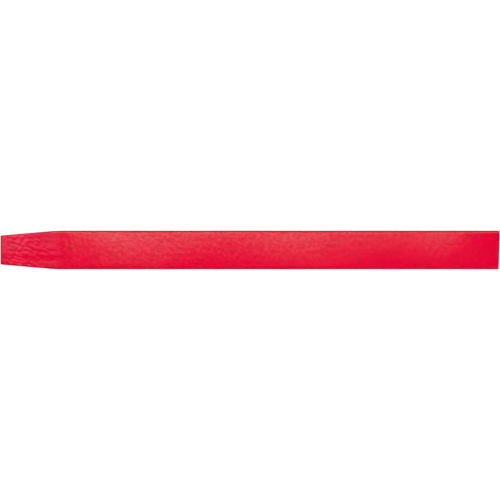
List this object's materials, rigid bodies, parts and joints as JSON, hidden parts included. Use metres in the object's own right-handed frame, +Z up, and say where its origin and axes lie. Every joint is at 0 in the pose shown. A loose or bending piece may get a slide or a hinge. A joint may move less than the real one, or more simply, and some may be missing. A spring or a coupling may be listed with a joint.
{
  "type": "carpenter pencil",
  "caption": "Flat wood-cased carpenter pencil, lacquered red, with a dipped taper at one end, a bare sawn end and a flat graphite lead for marking timber.",
  "frame": {"origin": "under the middle of the pencil, on the surface that it lies on when it rests on a broad side", "axes": "+X along the pencil from the dipped, tapered end to the sawn end, +Y across the broad side, +Z up through the thickness"},
  "size_m": [0.1778, 0.014, 0.0073],
  "materials": {
    "casing_wood": "matte",
    "graphite": "satin",
    "dried_glue": "satin",
    "undercoat": "matte",
    "red_lacquer": "gloss",
    "dip_coat": "satin"
  },
  "bodies": {
    "root": {"upper_slat": "casing_wood", "lower_slat": "casing_wood", "graphite_lead": "graphite", "lead_bedding_glue": "dried_glue", "front_seam_glue": "dried_glue", "back_seam_glue": "dried_glue", "undercoat": "undercoat", "red_lacquer": "red_lacquer", "end_dip_coat": "dip_coat"}
  },
  "joints": []
}
